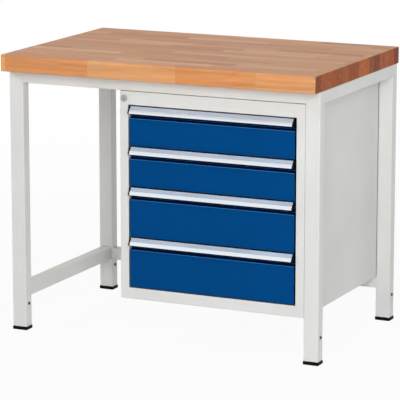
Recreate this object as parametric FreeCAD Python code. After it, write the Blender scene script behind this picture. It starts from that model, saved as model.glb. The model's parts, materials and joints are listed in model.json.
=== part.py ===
import FreeCAD, Part
import math
import os

# Height-adjustable workbench: a beech top on a tube frame with telescoping legs,
# and a steel drawer cabinet hung at the right.
# Millimetres. +X is right, +Y is back, +Z is up. The origin is on the floor, under the middle of the top.

# Overall sizes, at the lowest working height
bench_width = 1000.0
bench_depth = 650.0
bench_height = 840.0
height_travel = 200.0

# Worktop
worktop_thickness = 50.0
worktop_edge_radius = 3.0

# Leg tubes of the frame
leg_width = 45.0
leg_depth = 35.0
leg_wall = 2.0
leg_side_inset = 4.0
leg_front_inset = 45.0
leg_rear_inset = 3.0
tube_corner_radius = 2.5
least_inner_radius = 0.4
weld_reach = 1.9

# Telescoping inner legs and their feet
telescope_clearance = 0.5
inner_leg_wall = 2.0
inner_leg_overlap = 200.0
foot_height = 10.0
foot_overhang = 2.0
foot_edge_radius = 2.0
foot_plug_height = 25.0
foot_plug_clearance = 0.2
foot_stop_gap = 0.5

# Clamp screws that hold the inner legs: button heads with a hexagon socket
clamp_screw_drop = 20.0
clamp_screw_radius = 3.0
clamp_head_radius = 5.25
clamp_head_top_radius = 3.25
clamp_head_height = 3.3
clamp_socket_across_flats = 4.0
clamp_socket_depth = 2.0
clamp_tip_gap = 0.25

# Rails between the legs
rail_wall = 2.0
long_rail_height = 37.0
long_rail_depth = 30.0
side_rail_height = 37.0
side_rail_width = 35.0
side_lower_rail_height = 40.0
rear_lower_rail_height = 36.0

# Wood screws that hold the top, driven up through the long rails
wood_screw_count = 4
wood_screw_end_margin = 110.0
wood_screw_radius = 2.75
wood_screw_bite = 32.0
wood_screw_head_radius = 5.5
wood_screw_head_height = 3.5
wood_screw_access_radius = 7.0
screw_hole_clearance = 0.1

# Drawer cabinet, folded from sheet steel
cabinet_width = 582.0
cabinet_rear_inset = 2.0
cabinet_rail_gap = 1.0
sheet = 1.2
bend_radius = 0.6
stile_width = 26.5
stile_return = 18.0
rear_return = 14.0
fascia_height = 40.0
plinth_height = 33.0
lip_return = 16.0

# Bolts that hang the cabinet from the rails and tie it to the right-hand legs
bolt_radius = 4.0
bolt_hole_clearance = 0.3
bolt_head_across_flats = 13.0
bolt_head_height = 5.3
bolt_reach = 10.0
bolt_spacer_radius = 8.0
bolt_side_margin = 90.0
side_bolt_drops = (60.0, 240.0)

# Drawers, listed from the top down by the height of the front that each takes up
drawer_pitches = (120.0, 120.0, 150.0, 150.0)
front_gap = 3.0
front_side_gap = 4.5
front_pan_depth = 16.0
front_edge_return = 14.0
ledge_drop = 36.0
ledge_slope = 4.5
tray_base_lift = 8.0
tray_head_room = 24.0
tray_rear_gap = 12.6
tray_corner_radius = 3.0
tray_hem_height = 8.0

# Grip rail: an aluminium section with a channel for a label strip and a nose to pull on
grip_height = 21.0
grip_nose_reach = 13.0
grip_nose_height = 4.5
grip_nose_thickness = 2.5
grip_wall = 2.0
grip_hook_depth = 10.0
grip_hook_wall = 1.6
grip_hook_clearance = 0.2
grip_top_radius = 2.0
grip_nose_radius = 4.0
grip_tip_radius = 1.2
grip_inner_radius = 1.0
grip_rear_radius = 0.5
label_channel_start = 1.5
label_channel_width = 11.5
label_channel_depth = 0.8
label_thickness = 0.6
label_clearance = 0.1
label_end_gap = 0.5
grip_cap_thickness = 4.0
grip_cap_rim = 0.4

# Three-member drawer slides: a channel in a channel, with a hat section inside that carries the drawer
slide_front_gap = 9.5
slide_rear_gap = 7.6
slide_side_gap = 0.5
slide_thickness = 12.5
slide_centre_lift = 32.0
slide_height = 45.0
slide_wall = 1.5
slide_bend_radius = 0.4
slide_clearance = 0.5
slide_lip = 5.0
slide_bracket_height = 40.0
slide_bracket_foot = 12.0
slide_bracket_wall = 2.0

# Central lock: a key lock turns a cam that lifts a bar with a hook for each drawer
lock_drop = 22.0
lock_flange_radius = 10.0
lock_flange_thickness = 2.0
lock_body_radius = 8.0
lock_body_length = 22.0
lock_plug_radius = 6.0
lock_plug_clearance = 0.05
lock_plug_recess = 0.4
lock_plug_tail = 2.0
key_slot_height = 7.0
key_slot_width = 1.6
key_slot_depth = 6.0
cam_thickness = 3.0
cam_hub_radius = 6.0
cam_pin_radius = 2.5
cam_boss_wall = 1.5
cam_pin_length = 5.5
cam_pin_clearance = 0.5
lock_bar_lift = 10.0
lock_bar_gap = 0.5
lock_bar_thickness = 3.0
lock_bar_width = 20.0
lock_bar_floor_gap = 0.3
lock_bar_slot_radius = 1.0
hook_tray_gap = 4.0
hook_height = 8.0
hook_slide_gap = 2.0
catch_gap = 2.0
catch_length = 7.5
catch_thickness = 4.0


def vector(x, y, z):
    return FreeCAD.Vector(x, y, z)


# Planes that a drawn outline is laid in, and the prisms made from it


def rounded_wire(corners, place):
    """Closed wire through corners (a, b, radius), each rounded by an arc of its radius."""
    count = len(corners)
    entries = []
    for index, (a, b, radius) in enumerate(corners):
        here = FreeCAD.Vector(a, b, 0)
        before = FreeCAD.Vector(*corners[index - 1][:2], 0) - here
        after = FreeCAD.Vector(*corners[(index + 1) % count][:2], 0) - here
        before.normalize()
        after.normalize()
        if radius <= 0:
            entries.append((here, None, here))
            continue
        half = before.getAngle(after) / 2
        along = radius / math.tan(half)
        middle = before + after
        middle.normalize()
        crown = here + middle * (radius / math.sin(half) - radius)
        entries.append((here + before * along, crown, here + after * along))
    edges = []
    for index, (start, crown, end) in enumerate(entries):
        if crown is not None:
            edges.append(Part.Arc(place(start), place(crown), place(end)).toShape())
        following = entries[(index + 1) % count][0]
        if end.distanceToPoint(following) > 1e-6:
            edges.append(Part.LineSegment(place(end), place(following)).toShape())
    return Part.Wire(edges)


def prism_x(corners, x0, x1):
    """Outline drawn in (y, z), carried from x0 to x1."""
    wire = rounded_wire(corners, lambda p: vector(x0, p.x, p.y))
    return Part.Face(wire).extrude(vector(x1 - x0, 0, 0))


def prism_y(corners, y0, y1):
    """Outline drawn in (x, z), carried from y0 to y1."""
    wire = rounded_wire(corners, lambda p: vector(p.x, y0, p.y))
    return Part.Face(wire).extrude(vector(0, y1 - y0, 0))


def prism_z(corners, z0, z1):
    """Outline drawn in (x, y), carried from z0 to z1."""
    wire = rounded_wire(corners, lambda p: vector(p.x, p.y, z0))
    return Part.Face(wire).extrude(vector(0, 0, z1 - z0))


def rectangle(a0, a1, b0, b1, radius=0.0):
    return [(a0, b0, radius), (a1, b0, radius), (a1, b1, radius), (a0, b1, radius)]


def tube(prism, a0, a1, b0, b1, start, end, wall):
    """Rectangular tube with rounded corners, carried along the axis of the given prism function."""
    outer = prism(rectangle(a0, a1, b0, b1, tube_corner_radius), start, end)
    inner_radius = tube_corner_radius - wall
    bore = rectangle(a0 + wall, a1 - wall, b0 + wall, b1 - wall, inner_radius)
    return outer.cut(prism(bore, start, end))


def block(x0, x1, y0, y1, z0, z1):
    return Part.makeBox(x1 - x0, y1 - y0, z1 - z0, vector(x0, y0, z0))


def rod(radius, start, direction, length):
    return Part.makeCylinder(radius, length, start, direction)


def hexagon_prism(across_flats, start, direction, length):
    """Hexagonal prism that stands on start and points along direction."""
    corner = across_flats / math.sqrt(3)
    points = []
    for step in range(7):
        turn = math.radians(60 * step)
        points.append(vector(corner * math.cos(turn), corner * math.sin(turn), 0))
    solid = Part.Face(Part.makePolygon(points)).extrude(vector(0, 0, length))
    solid.Placement = FreeCAD.Placement(start, FreeCAD.Rotation(vector(0, 0, 1), direction))
    return solid


def sheet_outline(path, thickness=sheet, inside_radius=bend_radius):
    """Outline of a folded sheet. The path is one face of it, and the sheet lies to the left of the path."""
    directions = []
    for (a0, b0), (a1, b1) in zip(path, path[1:]):
        length = math.hypot(a1 - a0, b1 - b0)
        directions.append(((a1 - a0) / length, (b1 - b0) / length))
    near = []
    far = []
    for index, (a, b) in enumerate(path):
        da, db = directions[max(index - 1, 0)]
        ea, eb = directions[min(index, len(directions) - 1)]
        share = thickness / (1 + da * ea + db * eb)
        offset = (a - (db + eb) * share, b + (da + ea) * share)
        turn = da * eb - db * ea
        is_bend = 0 < index < len(path) - 1
        near_radius = inside_radius + thickness if turn > 0 else inside_radius
        far_radius = inside_radius if turn > 0 else inside_radius + thickness
        near.append((a, b, near_radius if is_bend else 0.0))
        far.append((offset[0], offset[1], far_radius if is_bend else 0.0))
    return near + far[::-1]


X_AXIS = vector(1, 0, 0)
Y_AXIS = vector(0, 1, 0)
Z_AXIS = vector(0, 0, 1)

# Places that several pieces share

frame_left = -bench_width / 2 + leg_side_inset
frame_right = -frame_left
frame_front = -bench_depth / 2 + leg_front_inset
frame_rear = bench_depth / 2 - leg_rear_inset
frame_top = bench_height - worktop_thickness
leg_bottom = foot_height + foot_stop_gap
inner_leg_length = height_travel + inner_leg_overlap
long_rail_bottom = frame_top - long_rail_height

leg_corners = {
    "front_left": (frame_left, frame_front),
    "front_right": (frame_right - leg_width, frame_front),
    "rear_left": (frame_left, frame_rear - leg_depth),
    "rear_right": (frame_right - leg_width, frame_rear - leg_depth),
}

cabinet_top_z = long_rail_bottom - cabinet_rail_gap
opening_height = sum(drawer_pitches) + front_gap
cabinet_bottom_z = cabinet_top_z - fascia_height - opening_height - plinth_height
cabinet_right_x = frame_right - leg_width
cabinet_left_x = cabinet_right_x - cabinet_width
cabinet_middle_x = (cabinet_left_x + cabinet_right_x) / 2
cabinet_back_y = frame_rear - cabinet_rear_inset
cabinet_inner_back_y = cabinet_back_y - 2 * sheet
opening_left_x = cabinet_left_x + stile_width
opening_right_x = cabinet_right_x - stile_width
opening_top_z = cabinet_top_z - fascia_height
plinth_top_z = cabinet_bottom_z + plinth_height
lower_rails_bottom = cabinet_bottom_z - rear_lower_rail_height

front_left_x = opening_left_x + front_side_gap
front_right_x = opening_right_x - front_side_gap
slide_left_x = opening_left_x + slide_side_gap
tray_left_x = slide_left_x + slide_thickness
tray_right_x = 2 * cabinet_middle_x - tray_left_x
tray_front_y = frame_front + front_pan_depth + sheet
tray_rear_y = cabinet_inner_back_y - tray_rear_gap

lock_x = cabinet_left_x + stile_width / 2
lock_z = cabinet_top_z - lock_drop
lock_rear_y = frame_front + lock_body_length
cam_front_y = lock_rear_y + lock_plug_tail
cam_rear_y = cam_front_y + cam_thickness
bar_front_y = cam_rear_y + lock_bar_gap
bar_rear_y = bar_front_y + lock_bar_thickness
slide_front_y = bar_rear_y + slide_front_gap
slide_rear_y = cabinet_inner_back_y - slide_rear_gap
cam_arm = lock_bar_lift / (2 * math.sin(math.radians(45)))
cam_pin_x = lock_x + lock_bar_lift / 2
cam_pin_z = lock_z - lock_bar_lift / 2


def drawer_levels():
    """Lowest and highest point of each drawer front, from the top drawer down."""
    levels = []
    upper = opening_top_z - front_gap / 2
    for pitch in drawer_pitches:
        levels.append((upper - pitch + front_gap / 2, upper - front_gap / 2))
        upper -= pitch
    return levels


def mirrored(shape):
    """The same shape on the other side of the cabinet's middle."""
    return shape.mirror(vector(cabinet_middle_x, 0, 0), X_AXIS)


# Worktop and its screws


def wood_screw_places():
    """Screw centres along the front and rear rails."""
    span = bench_width - 2 * wood_screw_end_margin
    rows = (frame_front + long_rail_depth / 2, frame_rear - long_rail_depth / 2)
    places = []
    for y in rows:
        for index in range(wood_screw_count):
            places.append((-span / 2 + span * index / (wood_screw_count - 1), y))
    return places


def make_worktop():
    half_width = bench_width / 2
    half_depth = bench_depth / 2
    slab = block(-half_width, half_width, -half_depth, half_depth, frame_top, bench_height)
    slab = slab.makeFillet(worktop_edge_radius, slab.Edges)
    for x, y in wood_screw_places():
        hole_radius = wood_screw_radius + screw_hole_clearance
        slab = slab.cut(rod(hole_radius, vector(x, y, frame_top), Z_AXIS, wood_screw_bite))
    return slab


def make_worktop_screws():
    seat = frame_top - rail_wall
    screws = []
    for x, y in wood_screw_places():
        length = rail_wall + wood_screw_bite - screw_hole_clearance
        shank = rod(wood_screw_radius, vector(x, y, seat), Z_AXIS, length)
        head_start = vector(x, y, seat - wood_screw_head_height)
        head = rod(wood_screw_head_radius, head_start, Z_AXIS, wood_screw_head_height)
        screws.append(shank.fuse(head).removeSplitter())
    return Part.makeCompound(screws)


# Frame


def clamp_screw_seat(name):
    """Middle of the clamp screw's hole in the right-hand face of a leg."""
    x, y = leg_corners[name]
    return vector(x + leg_width, y + leg_depth / 2, lower_rails_bottom - clamp_screw_drop)


def side_bolt_places():
    """Centres of the bolts that tie the cabinet to the right-hand legs."""
    places = []
    for name in ("front_right", "rear_right"):
        y = leg_corners[name][1] + leg_depth / 2
        for drop in side_bolt_drops:
            places.append((y, cabinet_top_z - drop))
    return places


def leg_outline(name):
    x, y = leg_corners[name]
    return rectangle(x, x + leg_width, y, y + leg_depth, tube_corner_radius)


def welded_to_legs(rail):
    """Trims a rail's ends to the legs, so that they run round the legs' corners like a weld ground flush."""
    return rail.cut([prism_z(leg_outline(name), leg_bottom, frame_top) for name in leg_corners])


def make_leg(name):
    x, y = leg_corners[name]
    leg = tube(prism_z, x, x + leg_width, y, y + leg_depth, leg_bottom, frame_top, leg_wall)
    drill_start = clamp_screw_seat(name) - X_AXIS * (leg_wall * 2)
    hole_radius = clamp_screw_radius + screw_hole_clearance
    leg = leg.cut(rod(hole_radius, drill_start, X_AXIS, leg_wall * 4))
    if name.endswith("right"):
        for bolt_y, bolt_z in side_bolt_places():
            if y < bolt_y < y + leg_depth:
                start = vector(x - leg_wall, bolt_y, bolt_z)
                leg = leg.cut(rod(bolt_radius + bolt_hole_clearance, start, X_AXIS, leg_wall * 3))
    return leg


def make_clamp_screws():
    screws = []
    for name in leg_corners:
        seat = clamp_screw_seat(name)
        reach = leg_wall + telescope_clearance - clamp_tip_gap
        shank = rod(clamp_screw_radius, seat - X_AXIS * reach, X_AXIS, reach)
        head = Part.makeCone(clamp_head_radius, clamp_head_top_radius, clamp_head_height, seat, X_AXIS)
        socket_start = seat + X_AXIS * (clamp_head_height - clamp_socket_depth)
        socket = hexagon_prism(clamp_socket_across_flats, socket_start, X_AXIS, clamp_socket_depth)
        screws.append(shank.fuse(head).cut(socket).removeSplitter())
    return Part.makeCompound(screws)


def make_long_rail(front_y):
    """Rail between the left and right legs under the top, drilled for the wood screws and cabinet bolts."""
    rear_y = front_y + long_rail_depth
    start = frame_left + leg_width - weld_reach
    end = frame_right - leg_width + weld_reach
    rail = tube(prism_x, front_y, rear_y, long_rail_bottom, frame_top, start, end, rail_wall)
    rail = welded_to_legs(rail)
    for x, y in wood_screw_places():
        if front_y < y < rear_y:
            low = vector(x, y, long_rail_bottom)
            high = vector(x, y, frame_top - rail_wall * 2)
            rail = rail.cut(rod(wood_screw_access_radius, low, Z_AXIS, rail_wall * 2))
            rail = rail.cut(rod(wood_screw_radius + screw_hole_clearance, high, Z_AXIS, rail_wall * 3))
    for x, y in hanging_bolt_places():
        if front_y < y < rear_y:
            low = vector(x, y, long_rail_bottom - rail_wall)
            rail = rail.cut(rod(bolt_radius + bolt_hole_clearance, low, Z_AXIS, rail_wall * 3))
    return rail


def make_side_rail(left_x, bottom_z, height):
    """Rail between a front leg and the rear leg behind it."""
    start = frame_front + leg_depth - weld_reach
    end = frame_rear - leg_depth + weld_reach
    right_x = left_x + side_rail_width
    return welded_to_legs(
        tube(prism_y, left_x, right_x, bottom_z, bottom_z + height, start, end, rail_wall)
    )


def make_rear_lower_rail():
    """Rail between the rear legs that the back of the cabinet stands on."""
    start = frame_left + leg_width - weld_reach
    end = frame_right - leg_width + weld_reach
    front_y = frame_rear - leg_depth
    return welded_to_legs(
        tube(prism_x, front_y, frame_rear, lower_rails_bottom, cabinet_bottom_z, start, end, rail_wall)
    )


# Telescoping legs


def inner_leg_outline(name, inset):
    x, y = leg_corners[name]
    margin = leg_wall + telescope_clearance + inset
    radius = max(tube_corner_radius - margin, least_inner_radius)
    return rectangle(x + margin, x + leg_width - margin, y + margin, y + leg_depth - margin, radius)


def make_inner_leg(name):
    top = foot_height + inner_leg_length
    outer = prism_z(inner_leg_outline(name, 0.0), foot_height, top)
    return outer.cut(prism_z(inner_leg_outline(name, inner_leg_wall), foot_height, top))


def make_foot(name):
    x, y = leg_corners[name]
    pad = rectangle(
        x - foot_overhang,
        x + leg_width + foot_overhang,
        y - foot_overhang,
        y + leg_depth + foot_overhang,
        tube_corner_radius + foot_overhang,
    )
    sole = prism_z(pad, 0.0, foot_height)
    rims = [edge for edge in sole.Edges if edge.BoundBox.ZLength < 1e-6]
    sole = sole.makeFillet(foot_edge_radius, rims)
    plug_inset = inner_leg_wall + foot_plug_clearance
    plug = prism_z(inner_leg_outline(name, plug_inset), foot_height, foot_height + foot_plug_height)
    return sole.fuse(plug).removeSplitter()


# Cabinet shell


def wall_path():
    """Plan of the left wall's outer face, from its rear return round the stile to the stile's return."""
    return [
        (cabinet_left_x + rear_return, cabinet_back_y),
        (cabinet_left_x, cabinet_back_y),
        (cabinet_left_x, frame_front),
        (opening_left_x, frame_front),
        (opening_left_x, frame_front + stile_return),
    ]


def make_wall_shell():
    """Left wall. The stile is folded back beside the drawers, and butts square against fascia and plinth."""
    folded = sheet_outline(wall_path())
    square = sheet_outline(wall_path()[:-1])
    beside_plinth = prism_z(square, cabinet_bottom_z, plinth_top_z)
    beside_drawers = prism_z(folded, plinth_top_z, opening_top_z)
    beside_fascia = prism_z(square, opening_top_z, cabinet_top_z)
    return beside_plinth.fuse([beside_drawers, beside_fascia]).removeSplitter()


def make_left_wall():
    wall = make_wall_shell()
    lock_hole_radius = lock_body_radius + screw_hole_clearance
    lock_hole = rod(lock_hole_radius, vector(lock_x, frame_front - sheet, lock_z), Y_AXIS, sheet * 3)
    return wall.cut(lock_hole)


def make_right_wall():
    wall = mirrored(make_wall_shell())
    for y, z in side_bolt_places():
        start = vector(cabinet_right_x - sheet * 2, y, z)
        wall = wall.cut(rod(bolt_radius + bolt_hole_clearance, start, X_AXIS, sheet * 3))
    return wall


def panel_plan():
    """Plan of the floor and the roof: between the walls, behind the stiles, and up to the rear returns."""
    left = cabinet_left_x + sheet
    right = cabinet_right_x - sheet
    front = frame_front + sheet
    rear = cabinet_back_y - sheet
    return rectangle(left, right, front, rear, bend_radius)


def make_cabinet_base():
    """Floor of the cabinet with the plinth that closes it under the lowest drawer."""
    floor = prism_z(panel_plan(), cabinet_bottom_z, cabinet_bottom_z + sheet)
    path = [
        (frame_front + lip_return, plinth_top_z),
        (frame_front, plinth_top_z),
        (frame_front, cabinet_bottom_z),
        (frame_front + lip_return, cabinet_bottom_z),
    ]
    plinth = prism_x(sheet_outline(path), opening_left_x, opening_right_x)
    return floor.fuse(plinth).removeSplitter()


def make_cabinet_top():
    """Roof of the cabinet with the fascia that closes it above the highest drawer."""
    roof = prism_z(panel_plan(), cabinet_top_z - sheet, cabinet_top_z)
    path = [
        (frame_front + lip_return, cabinet_top_z),
        (frame_front, cabinet_top_z),
        (frame_front, opening_top_z),
        (frame_front + lip_return, opening_top_z),
    ]
    fascia = prism_x(sheet_outline(path), opening_left_x, opening_right_x)
    roof = roof.fuse(fascia).removeSplitter()
    for x, y in hanging_bolt_places():
        start = vector(x, y, cabinet_top_z - sheet * 2)
        roof = roof.cut(rod(bolt_radius + bolt_hole_clearance, start, Z_AXIS, sheet * 3))
    return roof


def make_cabinet_back():
    return block(
        cabinet_left_x + sheet + bend_radius,
        cabinet_right_x - sheet - bend_radius,
        cabinet_inner_back_y,
        cabinet_back_y - sheet,
        cabinet_bottom_z + sheet,
        cabinet_top_z - sheet,
    )


def hanging_bolt_places():
    """Centres of the bolts that hang the cabinet from the long rails."""
    rows = (frame_front + long_rail_depth / 2 + sheet, frame_rear - long_rail_depth / 2)
    columns = (cabinet_left_x + bolt_side_margin, cabinet_right_x - bolt_side_margin)
    return [(x, y) for y in rows for x in columns]


def make_bolt(seat, direction, shank_length):
    """Hexagon bolt whose head sits against seat and whose shank points along direction."""
    head_start = seat - direction * bolt_head_height
    head = hexagon_prism(bolt_head_across_flats, head_start, direction, bolt_head_height)
    return head.fuse(rod(bolt_radius, seat, direction, shank_length)).removeSplitter()


def make_cabinet_bolts():
    pieces = []
    for x, y in hanging_bolt_places():
        seat = vector(x, y, cabinet_top_z - sheet)
        pieces.append(make_bolt(seat, Z_AXIS, sheet + cabinet_rail_gap + rail_wall + bolt_reach))
        spacer_start = vector(x, y, cabinet_top_z)
        spacer = rod(bolt_spacer_radius, spacer_start, Z_AXIS, cabinet_rail_gap)
        hole = rod(bolt_radius + bolt_hole_clearance, spacer_start, Z_AXIS, cabinet_rail_gap)
        pieces.append(spacer.cut(hole))
    for y, z in side_bolt_places():
        seat = vector(cabinet_right_x - sheet, y, z)
        pieces.append(make_bolt(seat, X_AXIS, sheet + leg_wall + bolt_reach))
    return Part.makeCompound(pieces)


# Drawer slides. Each section is drawn in (x, z) for the left side, and the right side mirrors it.


def slide_centre(level):
    return level[0] + tray_base_lift + slide_centre_lift


def channel_outline(x0, x1, z, half_height, lip):
    """Channel with turned-in lips, open towards the drawer."""
    mouth = half_height - lip
    path = [
        (x1, z + mouth),
        (x1, z + half_height),
        (x0, z + half_height),
        (x0, z - half_height),
        (x1, z - half_height),
        (x1, z - mouth),
    ]
    return sheet_outline(path, slide_wall, slide_bend_radius)


def slide_members(level):
    """Outlines of the fixed, middle and drawer members on the left of one drawer."""
    z = slide_centre(level)
    step = slide_wall + slide_clearance
    lip = slide_lip + slide_wall
    fixed_half = slide_height / 2
    fixed_end = tray_left_x - slide_wall
    fixed = channel_outline(slide_left_x, fixed_end, z, fixed_half, lip)
    middle_half = fixed_half - step
    middle_end = fixed_end - step
    middle = channel_outline(slide_left_x + step, middle_end, z, middle_half, lip)
    lip_x = middle_end - step
    lip_half = middle_half - step
    neck_half = middle_half - lip - slide_clearance
    path = [
        (lip_x, z - lip_half),
        (lip_x, z - neck_half),
        (tray_left_x, z - neck_half),
        (tray_left_x, z + neck_half),
        (lip_x, z + neck_half),
        (lip_x, z + lip_half),
    ]
    return fixed, middle, sheet_outline(path, slide_wall, slide_bend_radius)


def bracket_outline(level):
    """Hat section that stands the fixed slide member off the cabinet wall, in line with the opening."""
    z = slide_centre(level)
    wall_x = cabinet_left_x + sheet
    half = slide_bracket_height / 2
    web_x = slide_left_x - slide_bracket_wall
    path = [
        (wall_x, z + half + slide_bracket_foot),
        (wall_x, z + half),
        (web_x, z + half),
        (web_x, z - half),
        (wall_x, z - half),
        (wall_x, z - half - slide_bracket_foot),
    ]
    return sheet_outline(path, slide_bracket_wall, bend_radius)


def slide_pair(outline):
    left = prism_y(outline, slide_front_y, slide_rear_y)
    return [left, mirrored(left)]


def make_cabinet_runners():
    pieces = []
    for level in drawer_levels():
        bracket = prism_y(bracket_outline(level), slide_front_y, slide_rear_y)
        fixed = prism_y(slide_members(level)[0], slide_front_y, slide_rear_y)
        runner = bracket.fuse(fixed).removeSplitter()
        pieces += [runner, mirrored(runner)]
    return Part.makeCompound(pieces)


def make_middle_slides(level):
    return Part.makeCompound(slide_pair(slide_members(level)[1]))


def make_drawer_slides(level):
    return Part.makeCompound(slide_pair(slide_members(level)[2]))


# Drawers


def hook_bottom(level):
    """Underside of the lock bar's hook for a drawer, with the lock open."""
    return slide_centre(level) + slide_height / 2 + hook_slide_gap


def make_tray(level):
    """Open steel tray with a doubled rim, and a catch on its left side for the lock bar."""
    low, high = level
    bottom = low + tray_base_lift
    top = high - tray_head_room

    def plan(inset):
        radius = max(tray_corner_radius - inset, least_inner_radius)
        return rectangle(
            tray_left_x + inset, tray_right_x - inset, tray_front_y + inset, tray_rear_y - inset, radius
        )

    tray = prism_z(plan(0.0), bottom, top)
    tray = tray.cut(prism_z(plan(sheet), bottom + sheet, top - tray_hem_height))
    tray = tray.cut(prism_z(plan(sheet * 2), top - tray_hem_height, top))
    catch_low = hook_bottom(level) + hook_height + catch_gap
    catch_front = bar_rear_y + catch_gap
    catch = block(
        tray_left_x - catch_length,
        tray_left_x + sheet / 2,
        catch_front,
        catch_front + catch_thickness,
        catch_low,
        catch_low + hook_height,
    )
    return tray.fuse(catch).removeSplitter()


def make_front(level):
    """Folded front: an upright that carries the grip, a ledge for the fingers, and the face below it."""
    low, high = level
    web_y = frame_front + front_pan_depth
    ledge_z = high - ledge_drop
    path = [
        (web_y, high - grip_wall - grip_hook_clearance),
        (web_y, ledge_z + ledge_slope),
        (frame_front, ledge_z),
        (frame_front, low),
        (frame_front + front_edge_return, low),
    ]
    front = prism_x(sheet_outline(path), front_left_x, front_right_x)
    corner = bend_radius + sheet
    rear = frame_front + front_edge_return
    rear_rise = ledge_slope * front_edge_return / front_pan_depth
    end = [
        (frame_front, ledge_z, corner),
        (frame_front, low, corner),
        (rear, low, 0.0),
        (rear, ledge_z + rear_rise - sheet, 0.0),
    ]
    left_end = prism_x(end, front_left_x, front_left_x + sheet)
    right_end = prism_x(end, front_right_x - sheet, front_right_x)
    return front.fuse([left_end, right_end]).removeSplitter()


def grip_slope():
    """Unit vectors of the grip's slanted face, down along it and outwards from it, as (forward, up)."""
    fall = grip_height - grip_nose_height
    length = math.hypot(grip_nose_reach, fall)
    along = (grip_nose_reach / length, -fall / length)
    return along, (-along[1], along[0])


def slope_point(distance, depth):
    """A point on the slanted face, a distance down from its top and sunk by a depth."""
    along, out = grip_slope()
    return (along[0] * distance - out[0] * depth, along[1] * distance - out[1] * depth)


def placed(points, high):
    """Turns (forward, up, radius) from the front's top edge into (y, z, radius)."""
    return [(frame_front - forward, high + up, radius) for forward, up, radius in points]


def grip_outline():
    along, out = grip_slope()
    web_front = -front_pan_depth + grip_hook_clearance
    web_rear = -front_pan_depth - sheet - grip_hook_clearance
    nose_inner = grip_nose_reach - grip_nose_thickness
    inner_at_nose = -(grip_wall + out[0] * nose_inner) / out[1]
    inner_at_top = (grip_wall * out[1] - grip_wall) / out[0]
    channel_end = label_channel_start + label_channel_width
    hook_end = -grip_wall - grip_hook_depth
    return [
        (web_rear - grip_hook_wall, 0.0, grip_rear_radius),
        (0.0, 0.0, grip_top_radius),
        (*slope_point(label_channel_start, 0.0), 0.0),
        (*slope_point(label_channel_start, label_channel_depth), 0.0),
        (*slope_point(channel_end, label_channel_depth), 0.0),
        (*slope_point(channel_end, 0.0), 0.0),
        (grip_nose_reach, -grip_height + grip_nose_height, grip_nose_radius),
        (grip_nose_reach, -grip_height, grip_tip_radius),
        (nose_inner, -grip_height, grip_inner_radius),
        (nose_inner, inner_at_nose, grip_inner_radius),
        (inner_at_top, -grip_wall, grip_inner_radius),
        (web_front + grip_hook_wall, -grip_wall, 0.0),
        (web_front + grip_hook_wall, hook_end, 0.0),
        (web_front, hook_end, 0.0),
        (web_front, -grip_wall, 0.0),
        (web_rear, -grip_wall, 0.0),
        (web_rear, hook_end, 0.0),
        (web_rear - grip_hook_wall, hook_end, 0.0),
    ]


def make_grip(level):
    start = front_left_x + grip_cap_thickness
    end = front_right_x - grip_cap_thickness
    return prism_x(placed(grip_outline(), level[1]), start, end)


def make_label_strip(level):
    first = label_channel_start + label_clearance
    last = label_channel_start + label_channel_width - label_clearance
    floor = label_channel_depth - label_clearance
    face = floor - label_thickness
    outline = [
        (*slope_point(first, face), 0.0),
        (*slope_point(first, floor), 0.0),
        (*slope_point(last, floor), 0.0),
        (*slope_point(last, face), 0.0),
    ]
    margin = grip_cap_thickness + label_end_gap
    return prism_x(placed(outline, level[1]), front_left_x + margin, front_right_x - margin)


def make_grip_caps(level):
    """Solid end plates, a little proud of the grip's own section."""
    rear = -front_pan_depth + grip_hook_clearance
    nose = grip_nose_reach + grip_cap_rim
    lowest = -grip_height - grip_cap_rim
    outline = [
        (rear, grip_cap_rim, 0.0),
        (0.0, grip_cap_rim, grip_top_radius),
        (nose, -grip_height + grip_nose_height, grip_nose_radius),
        (nose, lowest, grip_tip_radius),
        (nose - grip_nose_thickness - 2 * grip_cap_rim, lowest, grip_inner_radius),
        (-grip_nose_thickness, -grip_hook_depth, grip_nose_radius),
        (rear, -grip_hook_depth, 0.0),
    ]
    left = prism_x(placed(outline, level[1]), front_left_x, front_left_x + grip_cap_thickness)
    return Part.makeCompound([left, mirrored(left)])


# Central lock


def make_lock_housing():
    flange_start = vector(lock_x, frame_front - lock_flange_thickness, lock_z)
    flange = rod(lock_flange_radius, flange_start, Y_AXIS, lock_flange_thickness)
    body = rod(lock_body_radius, vector(lock_x, frame_front, lock_z), Y_AXIS, lock_body_length)
    bore_length = lock_flange_thickness + lock_body_length
    bore = rod(lock_plug_radius + lock_plug_clearance, flange_start, Y_AXIS, bore_length)
    return flange.fuse(body).cut(bore).removeSplitter()


def make_lock_plug():
    start_y = frame_front - lock_flange_thickness + lock_plug_recess
    plug = rod(lock_plug_radius, vector(lock_x, start_y, lock_z), Y_AXIS, cam_front_y - start_y)
    slot = block(
        lock_x - key_slot_width / 2,
        lock_x + key_slot_width / 2,
        start_y,
        start_y + key_slot_depth,
        lock_z - key_slot_height / 2,
        lock_z + key_slot_height / 2,
    )
    return plug.cut(slot)


def make_lock_cam():
    """Arm on the plug's tail, with a pin that lifts the lock bar."""
    hub = rod(cam_hub_radius, vector(lock_x, cam_front_y, lock_z), Y_AXIS, cam_thickness)
    pin_start = vector(cam_pin_x, cam_front_y, cam_pin_z)
    boss = rod(cam_pin_radius + cam_boss_wall, pin_start, Y_AXIS, cam_thickness)
    pin = rod(cam_pin_radius, pin_start, Y_AXIS, cam_thickness + cam_pin_length)
    return hub.fuse([boss, pin]).removeSplitter()


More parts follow.
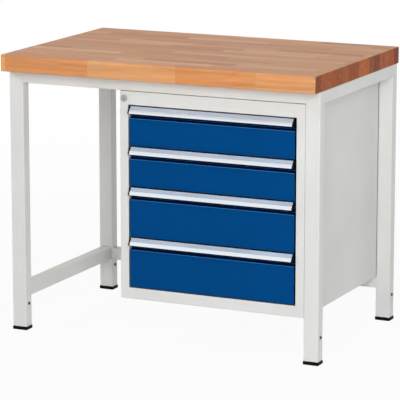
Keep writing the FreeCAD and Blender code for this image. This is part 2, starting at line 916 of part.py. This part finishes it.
def make_lock_bar():
    """Flat bar with a slot for the cam's pin and a hook beside each drawer."""
    left = opening_left_x - lock_bar_width - slide_side_gap
    right = left + lock_bar_width
    low = cabinet_bottom_z + sheet + lock_bar_floor_gap
    slot_half = cam_pin_radius + cam_pin_clearance
    high = cam_pin_z + slot_half * 2
    bar = block(left, right, bar_front_y, bar_rear_y, low, high)
    for level in drawer_levels():
        bottom = hook_bottom(level)
        reach = tray_left_x - hook_tray_gap
        hook = block(right, reach, bar_front_y, bar_rear_y, bottom, bottom + hook_height)
        bar = bar.fuse(hook)
    slot_end = lock_x + cam_arm + slot_half
    slot = prism_y(
        rectangle(
            cam_pin_x - slot_half,
            slot_end,
            cam_pin_z - slot_half,
            cam_pin_z + slot_half,
            lock_bar_slot_radius,
        ),
        bar_front_y,
        bar_rear_y,
    )
    return bar.cut(slot).removeSplitter()


def build_parts():
    """Every node of the bench by name."""
    parts = {
        "worktop": make_worktop(),
        "worktop_screws": make_worktop_screws(),
        "front_top_rail": make_long_rail(frame_front),
        "rear_top_rail": make_long_rail(frame_rear - long_rail_depth),
        "left_top_rail": make_side_rail(frame_left, frame_top - side_rail_height, side_rail_height),
        "right_top_rail": make_side_rail(
            frame_right - side_rail_width, frame_top - side_rail_height, side_rail_height
        ),
        "left_lower_rail": make_side_rail(
            frame_left + (leg_width - side_rail_width) / 2, lower_rails_bottom, side_lower_rail_height
        ),
        "rear_lower_rail": make_rear_lower_rail(),
        "leg_clamp_screws": make_clamp_screws(),
        "cabinet_left_wall": make_left_wall(),
        "cabinet_right_wall": make_right_wall(),
        "cabinet_base": make_cabinet_base(),
        "cabinet_top": make_cabinet_top(),
        "cabinet_back": make_cabinet_back(),
        "cabinet_bolts": make_cabinet_bolts(),
        "cabinet_runners": make_cabinet_runners(),
        "lock_housing": make_lock_housing(),
        "lock_plug": make_lock_plug(),
        "lock_cam": make_lock_cam(),
        "lock_bar": make_lock_bar(),
    }
    for name in leg_corners:
        parts[f"{name}_leg"] = make_leg(name)
        parts[f"{name}_inner_leg"] = make_inner_leg(name)
        parts[f"{name}_foot"] = make_foot(name)
    for number, level in enumerate(drawer_levels(), start=1):
        parts[f"drawer_{number}_tray"] = make_tray(level)
        parts[f"drawer_{number}_front"] = make_front(level)
        parts[f"drawer_{number}_grip"] = make_grip(level)
        parts[f"drawer_{number}_grip_caps"] = make_grip_caps(level)
        parts[f"drawer_{number}_label_strip"] = make_label_strip(level)
        parts[f"drawer_{number}_slides"] = make_drawer_slides(level)
        parts[f"drawer_{number}_middle_slides"] = make_middle_slides(level)
    return parts


def main():
    os.makedirs("parts", exist_ok=True)
    for name, shape in build_parts().items():
        if not shape.isValid():
            print("not valid:", name)
        shape.exportStep(f"parts/{name}.step")
        print(f"{name}: {len(shape.Solids)} solids, {shape.Volume:.0f} mm3")


main()
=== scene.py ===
import json
import math
import bpy
import numpy as np
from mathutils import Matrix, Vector

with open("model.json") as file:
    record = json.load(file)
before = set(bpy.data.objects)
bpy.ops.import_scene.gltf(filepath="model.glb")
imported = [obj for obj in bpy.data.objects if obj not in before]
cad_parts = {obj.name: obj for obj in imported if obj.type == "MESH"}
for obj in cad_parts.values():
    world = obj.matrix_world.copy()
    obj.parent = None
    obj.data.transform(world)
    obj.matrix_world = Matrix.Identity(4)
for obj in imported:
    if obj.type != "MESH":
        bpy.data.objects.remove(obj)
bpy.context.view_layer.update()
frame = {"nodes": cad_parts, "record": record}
nodes = frame["nodes"]


# small helpers for shader trees

unitSpan = (0.0, 1.0)
softSpan = (0.3, 0.7)  # most of a soft noise lies between these
fineSpan = (0.25, 0.75)  # and most of a finer one between these


def setInput(tree, socket, value):
    # a socket is linked, a plain number or colour is written on it
    if isinstance(value, bpy.types.NodeSocket):
        tree.links.new(value, socket)
    else:
        socket.default_value = value


def addNode(tree, kind, settings=None, inputs=None):
    node = tree.nodes.new("ShaderNode" + kind)
    for key, value in (settings or {}).items():
        setattr(node, key, value)
    for key, value in (inputs or {}).items():
        setInput(tree, node.inputs[key], value)
    return node


def calc(tree, operation, first, second=None):
    node = addNode(tree, "Math", {"operation": operation}, {0: first})
    if second is not None:
        setInput(tree, node.inputs[1], second)
    return node.outputs[0]


def plus(tree, first, second):
    return calc(tree, "ADD", first, second)


def minus(tree, first, second):
    return calc(tree, "SUBTRACT", first, second)


def times(tree, first, second):
    return calc(tree, "MULTIPLY", first, second)


def mapTo(tree, value, span, result=unitSpan):
    # a straight line from span to result, held at both ends
    node = addNode(tree, "MapRange", inputs={
        "Value": value, "From Min": span[0], "From Max": span[1], "To Min": result[0], "To Max": result[1]})
    return node.outputs["Result"]


def combine(tree, x, y, z=0.0):
    return addNode(tree, "CombineXYZ", inputs={0: x, 1: y, 2: z}).outputs[0]


def split(tree, vector):
    return addNode(tree, "SeparateXYZ", inputs={0: vector}).outputs


def stretch(tree, vector, scale):
    return addNode(tree, "VectorMath", {"operation": "MULTIPLY"}, {0: vector, 1: scale}).outputs[0]


def noise(tree, vector, scale=1.0, detail=2.0, roughness=0.5, pull=None):
    # pull squeezes the pattern along each axis, so streaks run along the one that it squeezes least
    if pull is not None:
        vector = stretch(tree, vector, pull)
    node = addNode(tree, "TexNoise", inputs={
        "Vector": vector, "Scale": scale, "Detail": detail, "Roughness": roughness})
    return node.outputs["Fac"]


def mixColour(tree, blend, factor, first, second):
    node = addNode(tree, "Mix", {"data_type": "RGBA", "blend_type": blend}, {0: factor, 6: first, 7: second})
    return node.outputs[2]


def shadeBy(tree, colour, level):
    # darkens or lifts all three channels of a colour alike
    return mixColour(tree, "MULTIPLY", 1.0, colour, combine(tree, level, level, level))


def facing(tree, axis):
    # how far a face looks along an axis of its piece: 0 is x, 2 is z
    return split(tree, addNode(tree, "TexCoord").outputs["Normal"])[axis]


def newGroup(name, inputs, outputs):
    tree = bpy.data.node_groups.new(name, "ShaderNodeTree")
    for inOut, sockets in (("INPUT", inputs), ("OUTPUT", outputs)):
        for socketName, kind in sockets:
            tree.interface.new_socket(socketName, in_out=inOut, socket_type="NodeSocket" + kind)
    return tree, tree.nodes.new("NodeGroupInput").outputs, tree.nodes.new("NodeGroupOutput").inputs


def useGroup(tree, group, values):
    node = tree.nodes.new("ShaderNodeGroup")
    node.node_tree = group
    for key, value in values.items():
        setInput(tree, node.inputs[key], value)
    return node.outputs


def newMaterial(name):
    material = bpy.data.materials.new(name)
    material.use_nodes = True
    tree = material.node_tree
    shader = tree.nodes["Principled BSDF"]
    place = tree.nodes.new("ShaderNodeTexCoord").outputs["Object"]
    return material, tree, shader, place


def dress(tree, shader, colour, roughness, height, normal, bump):
    # what varies over the surface, with a bump of the given strength and depth on the rounded normal
    strength, depth = bump
    bumped = addNode(tree, "Bump", inputs={
        "Strength": strength, "Distance": depth, "Height": height, "Normal": normal})
    setInput(tree, shader.inputs["Base Color"], colour)
    setInput(tree, shader.inputs["Roughness"], roughness)
    setInput(tree, shader.inputs["Normal"], bumped.outputs[0])


# shared effects

effects = {
    # an edge starts and is full where the rounded normal leaves the flat one by these cosines
    "edgeSamples": 4, "edgeTurn": (0.995, 0.75),
    # powder coat and mouldings
    "peel": {"detail": 1.0, "roughness": 0.4},
    "cloud": {"scale": 5.0, "detail": 3.0, "roughness": 0.55},
    "gloss": {"scale": 42.0, "detail": 3.0, "roughness": 0.6},
    # metals
    "lines": {"detail": 4.0, "roughness": 0.65},
    "bands": {"scale": 0.12},
    # painted shade in gaps
    "paintedShadeSamples": 6,
}


def makeSoftEdge():
    # rounded normals along the edges, and a mask that is 1 on an edge and 0 on a flat
    tree, into, out = newGroup("softEdge", [("Radius", "Float")], [("Normal", "Vector"), ("Edge", "Float")])
    bevel = addNode(tree, "Bevel", {"samples": effects["edgeSamples"]}, {"Radius": into["Radius"]})
    rounded = bevel.outputs["Normal"]
    flat = addNode(tree, "NewGeometry").outputs["Normal"]
    dot = addNode(tree, "VectorMath", {"operation": "DOT_PRODUCT"}, {0: rounded, 1: flat}).outputs["Value"]
    setInput(tree, out["Normal"], rounded)
    setInput(tree, out["Edge"], mapTo(tree, dot, effects["edgeTurn"]))
    return tree


def makeCoatSkin():
    # orange peel for the bump, slow clouds in the shade, finer patches in the gloss
    tree, into, out = newGroup(
        "coatSkin", [("Place", "Vector"), ("Peel", "Float")],
        [("Peel", "Float"), ("Cloud", "Float"), ("Gloss", "Float")])
    setInput(tree, out["Peel"], noise(tree, into["Place"], into["Peel"], **effects["peel"]))
    setInput(tree, out["Cloud"], noise(tree, into["Place"], **effects["cloud"]))
    setInput(tree, out["Gloss"], noise(tree, into["Place"], **effects["gloss"]))
    return tree


def makeDrawnLines():
    # fine lines left by a die or by a brush: noise pulled out along one axis
    tree, into, out = newGroup(
        "drawnLines", [("Place", "Vector"), ("Pull", "Vector")], [("Lines", "Float"), ("Bands", "Float")])
    pulled = stretch(tree, into["Place"], into["Pull"])
    setInput(tree, out["Lines"], noise(tree, pulled, **effects["lines"]))
    setInput(tree, out["Bands"], noise(tree, pulled, **effects["bands"]))
    return tree


def makePaintedGapShade():
    # painted shade in narrow gaps, corners and recesses, darker where a face is shut in: 0 where a face is
    # as open as Open, 1 where it is as shut as Shut
    tree, into, out = newGroup(
        "paintedGapShade", [("Reach", "Float"), ("Open", "Float"), ("Shut", "Float")], [("PaintedShade", "Float")])
    near = addNode(tree, "AmbientOcclusion", {"samples": effects["paintedShadeSamples"]}, {"Distance": into["Reach"]})
    setInput(tree, out["PaintedShade"], mapTo(tree, near.outputs["AO"], (into["Open"], into["Shut"])))
    return tree


softEdge = makeSoftEdge()
coatSkin = makeCoatSkin()
drawnLines = makeDrawnLines()
# painted shade for gaps, corners and recesses
paintedGapShade = makePaintedGapShade()
print("effects ready")


# beech worktop: glued staves with their own tone, growth rings round a pith behind each stave,
# end grain on the ends

beech = {
    # staves in metres; the inset keeps the first glue line out of the front face
    "topDepth": 0.65, "staveWidth": 0.0406, "staveLength": 0.27, "inset": 0.0004,
    # first joint of the front row, shift of each next row, and how uneven the lengths are
    "firstJoint": 0.20, "rowShift": 0.7548, "uneven": 0.09, "unevenStretch": 1.7, "unevenRow": 7.995,
    # tone of a piece on a ramp that is pale at both ends: start, step along a row, step from row to row
    "toneStart": 0.92, "toneStep": 0.62, "rowTone": 0.4142, "darkAt": 0.3, "midAt": 0.55,
    "pale": (0.73, 0.366, 0.160, 1), "mid": (0.685, 0.289, 0.110, 1), "dark": (0.648, 0.257, 0.097, 1),
    # what the darkest and the palest stave make of their tone, and the seed that deals it out
    "deepStave": (0.86, 0.795, 0.745, 1), "paleStave": (1.11, 1.205, 1.265, 1), "staveSeed": 841.0,
    # slow drift of hue
    "drift": {"pull": (7.0, 28.0, 28.0)},
    "warmTint": (1.02, 0.97, 0.88, 1), "coolTint": (0.98, 1.03, 1.12, 1),
    # growth rings: height of the pith, and offset and reach of the throw that moves it aside and up
    "pithHeight": 0.8, "pithAside": (0.5, 0.16), "pithAbove": (1.2, 0.09),
    "sway": {"pull": (3.0, 9.0, 9.0)}, "swayReach": 0.016,
    "ringStep": 0.0036, "ringSharpness": 3.0, "ringShade": 0.10,
    # fibres and streaks along x, and the short ray flecks that beech shows
    "fibre": {"pull": (9.0, 520.0, 520.0), "detail": 4.0, "roughness": 0.6},
    "fibreSpan": (0.2, 0.8), "fibreShade": (-0.07, 0.07),
    "streak": {"pull": (2.5, 70.0, 70.0), "detail": 3.0, "roughness": 0.55}, "streakShade": (0.81, 1.17),
    "fleck": {"pull": (260.0, 1500.0, 1500.0), "detail": 1.0}, "fleckSpan": (0.62, 0.72), "fleckShade": 0.13,
    # end grain: darker and duller, with pores and saw marks
    "endFacing": (0.6, 0.8), "endDull": 0.14,
    "endPale": (0.67, 0.395, 0.25, 1), "endDark": (0.29, 0.153, 0.094, 1),
    "pores": {"pull": (90.0, 900.0, 900.0), "detail": 3.0, "roughness": 0.7}, "poreShade": (0.88, 1.12),
    "sawn": {"pull": (1.0, 150.0, 45.0), "detail": 3.0, "roughness": 0.65}, "sawnShade": (0.72, 1.26),
    # glue lines, counted from a stave's middle, which is 0, to its edge, which is half a stave
    "halfStave": 0.5, "glueAcross": (0.490, 0.499), "glueAlong": (0.4985, 0.4997),
    "glueColour": (0.45, 0.33, 0.27, 1), "glueShade": 0.55, "glueSink": 0.8,
    "edge": 0.0015, "gloss": (0.36, 0.50), "shine": 0.21, "bump": (0.18, 0.0003),
}


def layStaves(tree, x, y):
    # the row across and the piece along it that a point lies in, and its place in both, counted in staves
    fromFront = plus(tree, y, beech["topDepth"] / 2 + beech["inset"])
    across = calc(tree, "DIVIDE", fromFront, beech["staveWidth"])
    row = calc(tree, "FLOOR", across)
    rowStart = calc(tree, "FRACT", times(tree, row, beech["rowShift"]))
    shift = times(tree, rowStart, beech["staveLength"])
    # uneven lengths: the noise steps with the row, so that a butted joint runs straight across its stave
    lengthPlace = combine(tree, times(tree, x, beech["unevenStretch"]), minus(tree, row, beech["unevenRow"]))
    uneven = noise(tree, lengthPlace, detail=0.0)
    wander = mapTo(tree, uneven, unitSpan, (-beech["uneven"], beech["uneven"]))
    placed = plus(tree, plus(tree, x, beech["firstJoint"]), plus(tree, shift, wander))
    along = calc(tree, "DIVIDE", placed, beech["staveLength"])
    piece = calc(tree, "FLOOR", along)
    return row, piece, across, along


def staveTone(tree, row, piece):
    # a large step from piece to piece keeps neighbours apart
    steps = plus(tree, times(tree, piece, beech["toneStep"]), times(tree, row, beech["rowTone"]))
    spread = calc(tree, "FRACT", plus(tree, steps, beech["toneStart"]))
    ramp = addNode(tree, "ValToRGB", inputs={0: spread})
    stops = ramp.color_ramp.elements
    stops[0].color = beech["pale"]
    stops[1].color = beech["pale"]
    stops.new(beech["darkAt"]).color = beech["dark"]
    stops.new(beech["midAt"]).color = beech["mid"]
    return ramp.outputs[0]


def lateWood(tree, place, y, z, row, throw):
    # rings by the distance from a pith line that runs along x, 0.2 to 0.4 m behind the stave
    offset, reach = beech["pithAside"]
    aside = times(tree, minus(tree, throw[0], offset), reach)
    offset, reach = beech["pithAbove"]
    above = times(tree, minus(tree, offset, throw[1]), reach)
    staveY = minus(tree, y, times(tree, row, beech["staveWidth"]))
    sway = times(tree, noise(tree, place, **beech["sway"]), beech["swayReach"])
    fromY = plus(tree, plus(tree, staveY, aside), sway)
    fromZ = minus(tree, minus(tree, z, beech["pithHeight"]), above)
    squares = plus(tree, calc(tree, "POWER", fromY, 2.0), calc(tree, "POWER", fromZ, 2.0))
    radius = calc(tree, "SQRT", squares)
    ring = calc(tree, "FRACT", calc(tree, "DIVIDE", radius, beech["ringStep"]))
    return calc(tree, "POWER", ring, beech["ringSharpness"])


def glueLines(tree, across, along):
    # 1 on the lines between the rows and at the butted ends, 0 elsewhere
    masks = []
    for counted, span in ((across, beech["glueAcross"]), (along, beech["glueAlong"])):
        fromMiddle = minus(tree, calc(tree, "FRACT", counted), beech["halfStave"])
        masks.append(mapTo(tree, calc(tree, "ABSOLUTE", fromMiddle), span))
    return calc(tree, "MAXIMUM", *masks)


def makeBeech():
    material, tree, shader, place = newMaterial("beechStaves")
    x, y, z = split(tree, place)
    row, piece, across, along = layStaves(tree, x, y)
    cell = combine(tree, row, piece)
    dice = addNode(tree, "TexWhiteNoise", {"noise_dimensions": "3D"}, {"Vector": cell})
    throw = addNode(tree, "SeparateColor", inputs={0: dice.outputs["Color"]}).outputs
    lightDice = addNode(tree, "TexWhiteNoise", {"noise_dimensions": "4D"}, {
        "Vector": cell, "W": beech["staveSeed"]})

    # long grain
    fibre = noise(tree, place, **beech["fibre"])
    streak = noise(tree, place, **beech["streak"])
    fleck = mapTo(tree, noise(tree, place, **beech["fleck"]), beech["fleckSpan"])
    late = lateWood(tree, place, y, z, row, throw)
    streakShade = mapTo(tree, streak, fineSpan, beech["streakShade"])
    shade = plus(tree, streakShade, mapTo(tree, fibre, beech["fibreSpan"], beech["fibreShade"]))
    shade = minus(tree, shade, times(tree, late, beech["ringShade"]))
    shade = minus(tree, shade, times(tree, fleck, beech["fleckShade"]))
    wood = shadeBy(tree, staveTone(tree, row, piece), shade)
    drift = mapTo(tree, noise(tree, place, **beech["drift"]), softSpan)
    tint = mixColour(tree, "MIX", drift, beech["warmTint"], beech["coolTint"])
    wood = mixColour(tree, "MULTIPLY", 1.0, wood, tint)
    stave = mixColour(tree, "MIX", lightDice.outputs["Value"], beech["deepStave"], beech["paleStave"])
    wood = mixColour(tree, "MULTIPLY", 1.0, wood, stave)

    # end grain on faces that look along x, where each stave soaks up oil its own way
    ends = mapTo(tree, calc(tree, "ABSOLUTE", facing(tree, 0)), beech["endFacing"])
    pores = mapTo(tree, noise(tree, place, **beech["pores"]), softSpan, beech["poreShade"])
    sawn = mapTo(tree, noise(tree, place, **beech["sawn"]), softSpan, beech["sawnShade"])
    endTone = mixColour(tree, "MIX", throw[2], beech["endDark"], beech["endPale"])
    endTint = shadeBy(tree, endTone, times(tree, pores, sawn))
    wood = mixColour(tree, "MULTIPLY", ends, wood, endTint)

    glue = glueLines(tree, across, along)
    wood = mixColour(tree, "MULTIPLY", times(tree, glue, beech["glueShade"]), wood, beech["glueColour"])

    edge = useGroup(tree, softEdge, {"Radius": beech["edge"]})
    longGloss = mapTo(tree, fibre, beech["fibreSpan"], beech["gloss"])
    roughness = plus(tree, longGloss, times(tree, ends, beech["endDull"]))
    height = minus(tree, fibre, times(tree, glue, beech["glueSink"]))
    dress(tree, shader, wood, roughness, height, edge["Normal"], beech["bump"])
    shader.inputs["Specular IOR Level"].default_value = beech["shine"]
    return material


# powder coats

# each coat's gap colour, fill, reach, open and shut paint shade into gaps, corners and the recess under a
# grip
coats = {
    "greyCoat": {
        "colour": (0.71, 0.715, 0.695, 1), "wearAndHighlightColour": (0.82, 0.825, 0.81, 1),
        "paintedShadeColour": (0.17, 0.17, 0.168, 1), "paintedShadeFill": 0.9, "reach": 0.016, "open": 0.66, "shut": 0.22,
        "gloss": (0.36, 0.50), "peel": 700.0, "paintedBendHighlight": False, "shine": 0.45},
    "blueCoat": {
        "colour": (0.0, 0.058, 0.213, 1), "wearAndHighlightColour": (0.06, 0.21, 0.47, 1),
        "paintedShadeColour": (0.0, 0.0004, 0.021, 1), "paintedShadeFill": 0.97, "reach": 0.03, "open": 0.88, "shut": 0.68,
        "gloss": (0.30, 0.42), "peel": 760.0, "paintedBendHighlight": True, "shine": 0.03},
}
# the same for both coats; a bend, where blue gets a painted highlight, is a face that looks up by bendRise,
# and the span fades it in
coatBuild = {
    "cloudShade": (0.965, 1.035), "edge": 0.0012, "edgeFill": 0.7,
    "bendRise": 0.45, "bendSpan": (0.40, 0.20), "bump": (0.22, 0.00012),
}


def makeCoat(name):
    look = coats[name]
    material, tree, shader, place = newMaterial(name)
    skin = useGroup(tree, coatSkin, {"Place": place, "Peel": look["peel"]})
    edge = useGroup(tree, softEdge, {"Radius": coatBuild["edge"]})
    paintedShade = useGroup(tree, paintedGapShade, {"Reach": look["reach"], "Open": look["open"], "Shut": look["shut"]})
    colour = shadeBy(tree, look["colour"], mapTo(tree, skin["Cloud"], softSpan, coatBuild["cloudShade"]))
    # lighter edges: partly edge wear, partly a painted highlight on rounded edges
    wearAndHighlight = times(tree, edge["Edge"], coatBuild["edgeFill"])
    colour = mixColour(tree, "MIX", wearAndHighlight, colour, look["wearAndHighlightColour"])
    # painted shade: darkens the coat in gaps, corners and recesses, such as under a grip
    colour = mixColour(tree, "MIX", times(tree, paintedShade["PaintedShade"], look["paintedShadeFill"]), colour, look["paintedShadeColour"])
    if look["paintedBendHighlight"]:
        # painted highlight: the coat is made lighter on the upper bends of a fold, which face between
        # forward and up
        offBend = calc(tree, "ABSOLUTE", minus(tree, facing(tree, 2), coatBuild["bendRise"]))
        bend = mapTo(tree, offBend, coatBuild["bendSpan"])
        colour = mixColour(tree, "MIX", bend, colour, look["wearAndHighlightColour"])
    roughness = mapTo(tree, skin["Gloss"], softSpan, look["gloss"])
    dress(tree, shader, colour, roughness, skin["Peel"], edge["Normal"], coatBuild["bump"])
    shader.inputs["Specular IOR Level"].default_value = look["shine"]
    return material


# bare and plated metals

metals = {
    "gripAluminium": {
        "colour": (0.88, 0.915, 0.96, 1), "tint": 0.04, "gloss": (0.36, 0.50),
        "pull": (3.0, 1100.0, 1100.0)},
    "zincPlate": {
        "colour": (0.62, 0.64, 0.66, 1), "tint": 0.06, "gloss": (0.30, 0.42),
        "pull": (220.0, 220.0, 220.0)},
    "lockNickel": {
        "colour": (0.42, 0.43, 0.42, 1), "tint": 0.08, "gloss": (0.20, 0.34),
        "pull": (700.0, 20.0, 700.0)},
    "blackOxide": {
        "colour": (0.10, 0.10, 0.10, 1), "tint": 0.20, "gloss": (0.38, 0.55),
        "pull": (500.0, 500.0, 500.0)},
}
metalBuild = {"edge": 0.0005, "bump": (0.10, 0.00005)}


def makeMetal(name):
    look = metals[name]
    material, tree, shader, place = newMaterial(name)
    drawn = useGroup(tree, drawnLines, {"Place": place, "Pull": look["pull"]})
    edge = useGroup(tree, softEdge, {"Radius": metalBuild["edge"]})
    tint = look["tint"]
    lines = mapTo(tree, drawn["Lines"], fineSpan, (1.0 - tint, 1.0 + tint))
    bands = mapTo(tree, drawn["Bands"], softSpan, (1.0 - tint / 2, 1.0 + tint / 2))
    colour = shadeBy(tree, look["colour"], times(tree, lines, bands))
    roughness = mapTo(tree, drawn["Lines"], fineSpan, look["gloss"])
    dress(tree, shader, colour, roughness, drawn["Lines"], edge["Normal"], metalBuild["bump"])
    shader.inputs["Metallic"].default_value = 1.0
    return material


# moulded plastics

plastics = {
    "blackMoulding": {
        "colour": (0.004, 0.004, 0.0045, 1), "gloss": (0.42, 0.60), "texture": 1600.0, "edge": 0.0008,
        "shine": 0.06},
    "labelStrip": {
        "colour": (0.43, 0.51, 0.625, 1), "gloss": (0.34, 0.48), "texture": 2400.0, "edge": 0.0003,
        "shine": 0.3},
}
plasticBuild = {"cloudShade": (0.88, 1.12), "edgeLift": 0.6, "bump": (0.25, 0.00006)}


def makePlastic(name):
    look = plastics[name]
    material, tree, shader, place = newMaterial(name)
    skin = useGroup(tree, coatSkin, {"Place": place, "Peel": look["texture"]})
    edge = useGroup(tree, softEdge, {"Radius": look["edge"]})
    cloud = mapTo(tree, skin["Cloud"], softSpan, plasticBuild["cloudShade"])
    lift = plus(tree, cloud, times(tree, edge["Edge"], plasticBuild["edgeLift"]))
    colour = shadeBy(tree, look["colour"], lift)
    roughness = mapTo(tree, skin["Gloss"], softSpan, look["gloss"])
    dress(tree, shader, colour, roughness, skin["Peel"], edge["Normal"], plasticBuild["bump"])
    shader.inputs["Specular IOR Level"].default_value = look["shine"]
    return material


finishes = {
    "beech": makeBeech(), "grey_paint": makeCoat("greyCoat"), "blue_paint": makeCoat("blueCoat"),
    "aluminium": makeMetal("gripAluminium"), "zinc_steel": makeMetal("zincPlate"),
    "lock_chrome": makeMetal("lockNickel"), "black_steel": makeMetal("blackOxide"),
    "black_plastic": makePlastic("blackMoulding"), "label_plastic": makePlastic("labelStrip"),
}
for part in frame["record"]["subparts"]:
    mesh = nodes[part["node"]].data
    mesh.materials.clear()
    mesh.materials.append(finishes[part["material_slot"]])
print("finishes on", len(nodes), "nodes")


# floor and light

studio = {
    "floorSize": 40.0, "floorDrop": 0.0003, "floorColour": (0.74, 0.74, 0.74, 1), "floorRoughness": 0.9,
    # share of white seen on the floor near the bench, and the distances between which it becomes full
    "floorWhite": 0.94, "whiteSpan": (0.8, 4.0),
    "white": (1, 1, 1, 1), "worldLight": 0.22,
}
# azimuth and height angle in degrees, distance, width and height in metres, level on a face turned to it
lamps = {
    "key": (28.0, 17.0, 6.5, 3.0, 3.5, 0.64),
    "side": (66.0, 9.0, 8.0, 3.5, 2.0, 0.10),
    "fill": (-65.0, 38.0, 5.0, 3.0, 1.5, 0.27),
    "back": (155.0, 14.0, 5.0, 3.0, 1.5, 0.20),
}
lampAim = (0, 0, 0.45)


def seenDirectly(tree):
    # 1 for camera rays and for what metal or glass shows, 0 for light that bounces
    rays = addNode(tree, "LightPath").outputs
    mirrored = calc(tree, "MAXIMUM", rays["Is Glossy Ray"], rays["Is Transmission Ray"])
    return calc(tree, "MAXIMUM", rays["Is Camera Ray"], mirrored)


def makeFloor():
    # a flat square round the origin, a hair below the feet
    half = studio["floorSize"] / 2
    mesh = bpy.data.meshes.new("floor")
    corners = np.array([[-1, -1], [1, -1], [1, 1], [-1, 1]]) * half
    heights = np.full(len(corners), -studio["floorDrop"])
    mesh.from_pydata(np.column_stack([corners, heights]).tolist(), [], [(0, 1, 2, 3)])
    floor = bpy.data.objects.new("floor", mesh)
    bpy.context.scene.collection.objects.link(floor)
    material, tree, shader, place = newMaterial("paleFloor")
    shader.inputs["Base Color"].default_value = studio["floorColour"]
    shader.inputs["Roughness"].default_value = studio["floorRoughness"]
    # seen nearly white beside the bench, so that its shadow stays, and fully white far from it
    white = addNode(tree, "Emission", inputs={"Color": studio["white"], "Strength": 1.0})
    away = addNode(tree, "VectorMath", {"operation": "LENGTH"}, {0: place}).outputs["Value"]
    whiteness = mapTo(tree, away, studio["whiteSpan"], (studio["floorWhite"], 1.0))
    blend = addNode(tree, "MixShader", inputs={0: times(tree, seenDirectly(tree), whiteness)})
    tree.links.new(shader.outputs[0], blend.inputs[1])
    tree.links.new(white.outputs[0], blend.inputs[2])
    tree.links.new(blend.outputs[0], tree.nodes["Material Output"].inputs[0])
    mesh.materials.append(material)


def makeWorld():
    world = bpy.data.worlds.new("studioWorld")
    world.use_nodes = True
    tree = world.node_tree
    back = tree.nodes["Background"]
    strength = mapTo(tree, seenDirectly(tree), unitSpan, (studio["worldLight"], 1.0))
    setInput(tree, back.inputs["Strength"], strength)
    back.inputs["Color"].default_value = studio["white"]
    bpy.context.scene.world = world


def standOff(name, data, aim, azimuth, elevation, distance):
    # puts a lamp or camera at a distance from its aim, turned to it: azimuth 0 is in front, 90 at the right
    turn = math.radians(azimuth)
    rise = math.radians(elevation)
    flat = math.cos(rise)
    towards = Vector((math.sin(turn) * flat, -math.cos(turn) * flat, math.sin(rise)))
    holder = bpy.data.objects.new(name, data)
    holder.location = Vector(aim) + towards * distance
    holder.rotation_euler = (-towards).to_track_quat("-Z", "Y").to_euler()
    bpy.context.scene.collection.objects.link(holder)
    return holder


def makeLamp(name):
    azimuth, elevation, distance, width, height, level = lamps[name]
    lamp = bpy.data.lights.new(name, "AREA")
    lamp.shape = "RECTANGLE"
    lamp.size = width
    lamp.size_y = height
    lamp.energy = level * math.pi ** 2 * distance ** 2
    holder = standOff(name, lamp, lampAim, azimuth, elevation, distance)
    holder.visible_glossy = False  # no glare: what shines mirrors the white studio


makeFloor()
makeWorld()
for lampName in lamps:
    makeLamp(lampName)
bpy.context.scene.view_settings.view_transform = "Standard"
print("studio ready")


# camera, from the photograph's perspective

viewpoint = {
    "azimuth": 25.194, "elevation": 11.684, "distance": 7.4816, "aim": (-0.0139, 0.0162, 0.3832),
    "lens": 223.85, "sensor": 36.0, "farthest": 200.0,
}


def makeCamera():
    camera = bpy.data.cameras.new("camera")
    camera.lens = viewpoint["lens"]
    camera.sensor_width = viewpoint["sensor"]
    camera.clip_end = viewpoint["farthest"]
    stand = [viewpoint[key] for key in ("aim", "azimuth", "elevation", "distance")]
    bpy.context.scene.camera = standOff("camera", camera, *stand)


makeCamera()
print("camera ready")
